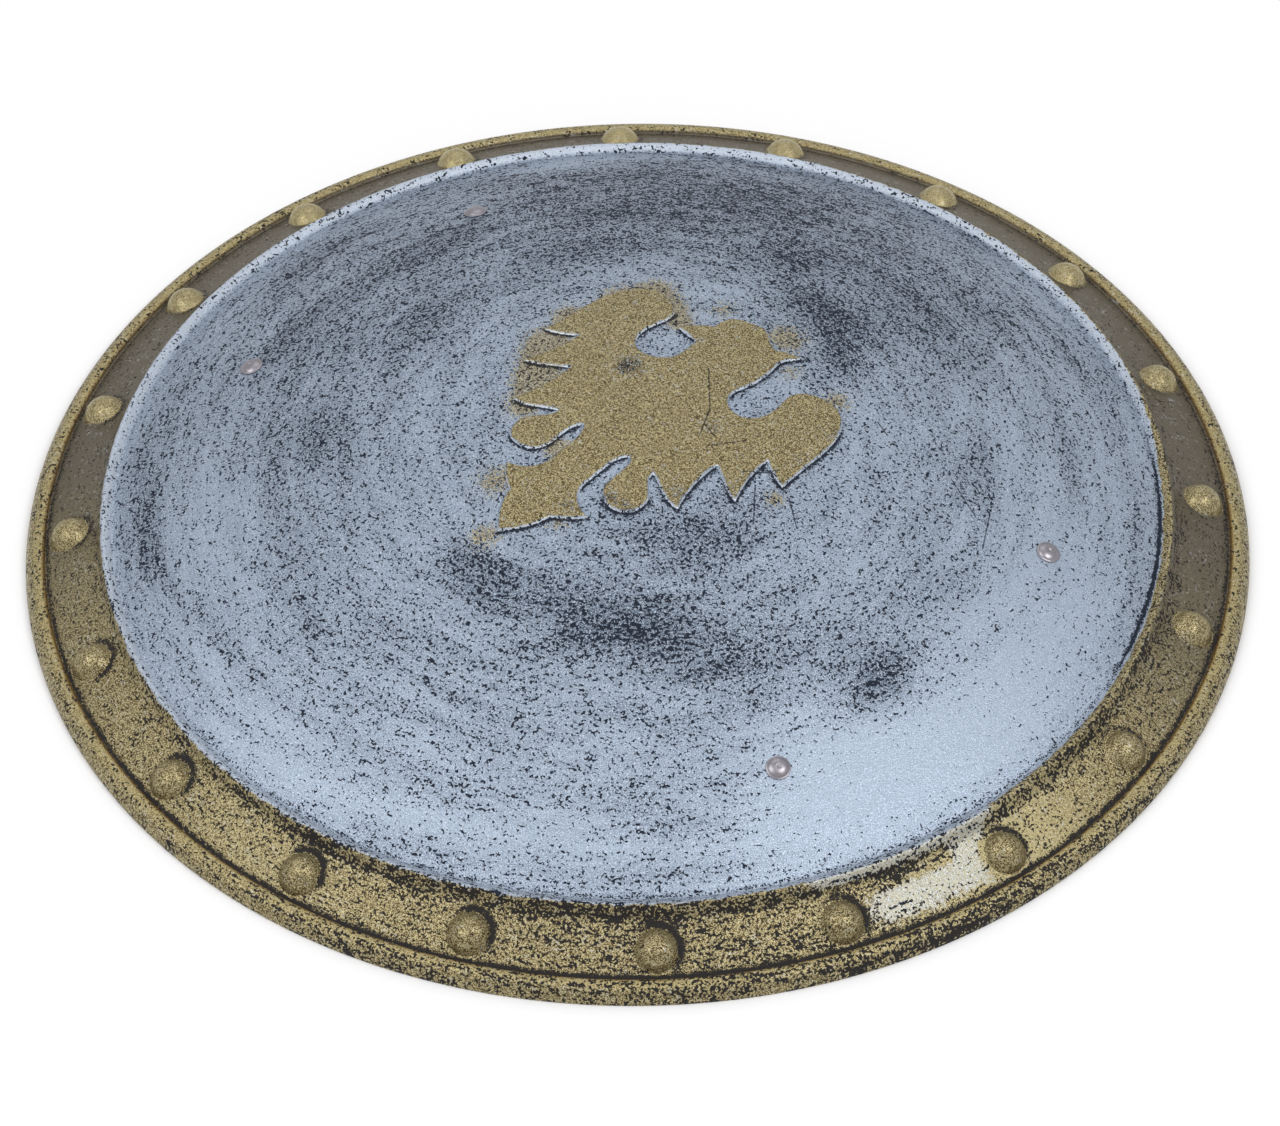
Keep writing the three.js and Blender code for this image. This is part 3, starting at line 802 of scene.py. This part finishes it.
# The rim's gold turns greyer and darker where that field is high: painted shade.
painted_rim_shade = field["rim_shade_and_highlight"] * on_rim * (1 - field["stud"]) * (1 - on_bead * 0.8)
gold_tone = painted_rim_shade.ease(0, 1).blend(gold_tone, colour(103, 96, 82))
# The studs' gold is lightened, more on the far studs that face the camera, and so is the band where the
# rim's shade field is negative: painted highlight.
painted_stud_and_rim_highlight = (painted_rim_shade * -1 + field["stud"] * (far * 0.3 + 0.25)).ease(0, 1)
gold_tone = painted_stud_and_rim_highlight.blend(gold_tone, colour(180, 168, 126))
# An amber strip on the inner side of the bead, strongest on the near side: painted reflection in the groove.
painted_groove_reflection = (radius - 241.8).ease(-0.5, 0.3) * (radius - 243.4).ease(0.5, -0.3) * (0.7 - far * 0.6)
gold_tone = painted_groove_reflection.ease(0, 1).blend(gold_tone, colour(128, 98, 48))
# Lighter gold along the crest of the bead: painted highlight.
painted_crest_highlight = (radius - 242.6).ease(-0.5, 0.8) * (radius - 246.2).ease(1.6, -1.2)
gold_tone = (painted_crest_highlight * (glint * 0.5 + 0.3)).blend(gold_tone, colour(186, 172, 124))
# The gold is lightened along the same edges: painted highlight.
gold_tone = painted_edge_highlight.blend(gold_tone, colour(216, 208, 178))
metal = gold.blend(silver, gold_tone)
plastic = gold.blend(colour(20, 30, 46), colour(36, 33, 31))
surface = dark.blend(metal, plastic)
bump = paint.node(
    "Bump", {
        "Strength": 0.7,
        "Distance": 0.0005,
        "Height": (grain * 0.8 + sparkle * 0.6 - dark * 0.15) * (1 - field["stud"] * 0.5),
    }
)
shell.data.materials.append(paint.finish(
    Base_Color=surface,
    Metallic=(1 - dark) * 0.55,
    Specular_IOR_Level=0.25,
    Roughness=dark * 0.3 + 0.36,
    Normal=bump,
))

# The inside is the bare plastic, grained and scuffed here and there.
bare_plastic = Graph("bare_black_plastic")
inside_mm = bare_plastic.node(
    "VectorMath", {0: bare_plastic.node("TexCoord", {}, output="Object"), "Scale": 1000.0}, operation="SCALE"
)
pebble = inside_mm.noise(0.7, 2.0, 0.55)
scuff = inside_mm.noise(0.035, 4.0, 0.6).ease(0.45, 0.7)
inside_bump = bare_plastic.node("Bump", {"Strength": 0.5, "Distance": 0.0004, "Height": pebble})
shell.data.materials.append(bare_plastic.finish(
    Base_Color=(scuff * 0.6 + pebble * 0.25).blend(colour(24, 25, 28), colour(52, 54, 58)),
    Roughness=scuff * 0.15 + 0.48,
    Normal=inside_bump,
))
painted_rows = int(np.argmax(RIM_PROFILE[:, 1] == 0))
unpainted = [np.zeros(len(shell_faces[0])), np.arange(len(shell_faces[1])) >= painted_rows * RIM_COLUMNS]
unpainted += [np.ones(len(faces)) for faces in shell_faces[2:]]
shell.data.polygons.foreach_set("material_index", np.concatenate(unpainted).astype(np.int32))

# ---- Straps ----------------------------------------------------------------------------------
# Two plain black webbing straps cross the hollow, one for the hand and one for the forearm.
# Each lies on the inside of the dome at its rivets and bows away from it between them.

# Bearing of the strap's middle, half the angle between its rivets, width and bow.
STRAPS = {
    "hand_grip_strap": (HAND_BEARING, HAND_SPREAD, 30, 29),
    "forearm_strap": (FOREARM_BEARING, FOREARM_SPREAD, 38, 29.5),
}
STRAP_GAP, STRAP_THICKNESS, STRAP_TAIL, STRAP_SEAT = 1.1, 2.2, 15, 11
STRAP_ROWS = 180


def strap_points(middle, spread, width, bow):
    """The strap's face and underside as grids of points, with how far along and across it each
    lies. Its depth below its seat is bow (1 + cos(pi angle / bowing)) / 2 between the rivets."""
    slope = math.asin(RIVET_PITCH / DOME_RADIUS)
    rivet = math.asin(math.sin(slope) * math.sin(math.radians(spread)))
    tilt = math.atan(math.tan(slope) * math.cos(math.radians(spread)))
    seat = inside_sphere - STRAP_GAP
    ending = rivet + STRAP_TAIL / inside_sphere
    bowing = rivet - STRAP_SEAT / inside_sphere
    angle = np.linspace(-ending, ending, STRAP_ROWS)
    inner = np.abs(angle) < bowing
    depth = np.where(inner, bow * (1 + np.cos(np.pi * angle / bowing)) / 2, 0)
    climb = np.where(inner, bow * np.pi * np.sin(np.pi * angle / bowing) / (2 * bowing * seat), 0)
    normal = angle - np.arctan(climb)
    half = width / 2
    lap = np.array([-half, -half + 0.35, *np.linspace(-half + 1.2, half - 1.2, 13), half - 0.35, half])
    inset = np.array([0.8, 0.25, *np.zeros(13), 0.25, 0.8])
    grids = []
    for side in (0, 1):
        sink = side * STRAP_THICKNESS + (inset if side == 0 else -inset)
        out = (seat - depth)[:, None] * np.cos(angle)[:, None] - sink * np.cos(normal)[:, None]
        level = (seat - depth)[:, None] * np.sin(angle)[:, None] - sink * np.sin(normal)[:, None]
        grids.append(np.stack([np.repeat(lap[None], STRAP_ROWS, 0), level, out], axis=-1))
    grid = np.stack(grids)
    c, s = math.cos(tilt), math.sin(tilt)
    away, up = grid[..., 0] * c + grid[..., 2] * s, grid[..., 2] * c - grid[..., 0] * s + DOME_CENTRE
    c, s = math.cos(math.radians(middle)), math.sin(math.radians(middle))
    placed = np.stack([away * c - grid[..., 1] * s, away * s + grid[..., 1] * c, up], axis=-1)
    along = np.repeat((angle * seat)[:, None], len(lap), 1)
    return placed, along, np.repeat(lap[None], STRAP_ROWS, 0)


def strap_faces(rows, columns):
    """Quads over the face and the underside, and round the four edges between them."""
    index = np.arange(2 * rows * columns).reshape(2, rows, columns)

    def quads(grid):
        """A quad between each four neighbours of a grid of point numbers."""
        return np.stack([grid[:-1, :-1], grid[1:, :-1], grid[1:, 1:], grid[:-1, 1:]], -1).reshape(-1, 4)

    return [
        quads(index[0])[:, ::-1], quads(index[1]),
        quads(index[:, :, 0])[:, ::-1], quads(index[:, :, -1]),
        quads(index[:, 0, :]), quads(index[:, -1, :])[:, ::-1],
    ]


webbing = Graph("black_webbing")
along = webbing.node("Attribute", {}, output="Fac", attribute_name="along")
lap = webbing.node("Attribute", {}, output="Fac", attribute_name="lap")
ribs = (along * 3.6).math("SINE") * 0.5 + 0.5
rows_of_yarn = (lap * 4.2 + (along * 1.8).math("SINE") * 0.9).math("SINE") * 0.5 + 0.5
weave = ribs * 0.6 + rows_of_yarn * 0.4
strap_bump = webbing.node("Bump", {"Strength": 0.6, "Distance": 0.0004, "Height": weave})
cloth = webbing.finish(
    Base_Color=weave.blend(colour(14, 14, 16), colour(40, 40, 44)), Roughness=0.85, Normal=strap_bump
)
for name, numbers in STRAPS.items():
    grid, strap_along, strap_lap = strap_points(*numbers)
    strap = make_piece("shield_" + name, grid.reshape(-1, 3), strap_faces(*grid.shape[1:3]))
    add_field(strap, "along", np.tile(strap_along.ravel(), 2))
    add_field(strap, "lap", np.tile(strap_lap.ravel(), 2))
    strap.data.materials.append(cloth)
    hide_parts(name)

# ---- Rivets ----------------------------------------------------------------------------------
# Four satin metal rivets with low domed heads, each dimpled in the middle and spread behind the
# strap. A thin flange round the head catches the light.

RIVET_PROFILE = np.array([
    [0, 1.52], [0.28, 1.53], [0.5, 1.66], [0.75, 1.86], [1.1, 1.9], [1.9, 1.82], [2.7, 1.62], [3.5, 1.27],
    [4.1, 0.85], [4.3, 0.62], [4.45, 0.52], [4.8, 0.5], [4.97, 0.4], [5, 0.25], [4.95, 0.08], [4.8, 0.02],
    [2.5, 0.02], [2.4, -0.1], [2.4, -6.1], [4.2, -6.12], [4.4, -6.25], [4.4, -6.8], [4.1, -7.2],
    [3.4, -7.55], [2.2, -7.72], [1.3, -7.75], [1.0, -7.6], [0.8, -7.2], [0, -7.1],
])
RIVET_SIDES = 48
steel = Graph("satin_rivet_metal")
rivet_place = steel.node("TexCoord", {}, output="Object")
rivet_mm = steel.node("VectorMath", {0: rivet_place, "Scale": 1000.0}, operation="SCALE")
satin = rivet_mm.noise(1.6, 3.0, 0.6)
steel_bump = steel.node("Bump", {"Strength": 0.12, "Distance": 0.0002, "Height": satin})
metal_finish = steel.finish(
    Base_Color=satin.blend(colour(132, 128, 136), colour(178, 174, 180)),
    Metallic=1.0,
    Roughness=satin * 0.3 + 0.2,
    Normal=steel_bump,
)
for name, heading in RIVET_BEARINGS.items():
    turn = 2 * np.pi * np.arange(RIVET_SIDES) / RIVET_SIDES
    radii, heights = RIVET_PROFILE.T
    level = radii[1:-1, None]
    up = np.repeat(heights[1:-1, None], RIVET_SIDES, 1)
    rings = np.stack([level * np.cos(turn), level * np.sin(turn), up], axis=-1)
    poles = [[0, 0, heights[0]], [0, 0, heights[-1]]]
    turned = np.concatenate([rings.reshape(-1, 3), poles])
    slope = math.asin(RIVET_PITCH / DOME_RADIUS)
    stand = Matrix.Translation((0, 0, DOME_CENTRE)) @ Matrix.Rotation(math.radians(heading), 4, "Z")
    stand = np.array(stand @ Matrix.Rotation(slope, 4, "Y") @ Matrix.Translation((0, 0, DOME_RADIUS)))
    placed = turned @ stand[:3, :3].T + stand[:3, 3]
    # Each pole is one point, joined by triangles to the ring beside it.
    first = np.arange(RIVET_SIDES)
    second = (first + 1) % RIVET_SIDES
    pole = rings.size // 3
    last_ring = pole - RIVET_SIDES
    dimple = np.stack([first, second, np.full(RIVET_SIDES, pole)], axis=1)
    tail = np.stack([np.full(RIVET_SIDES, pole + 1), last_ring + second, last_ring + first], axis=1)
    rivet = make_piece("shield_" + name, placed, [strip(rings)[:, ::-1], dimple, tail])
    rivet.data.materials.append(metal_finish)
    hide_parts(name)
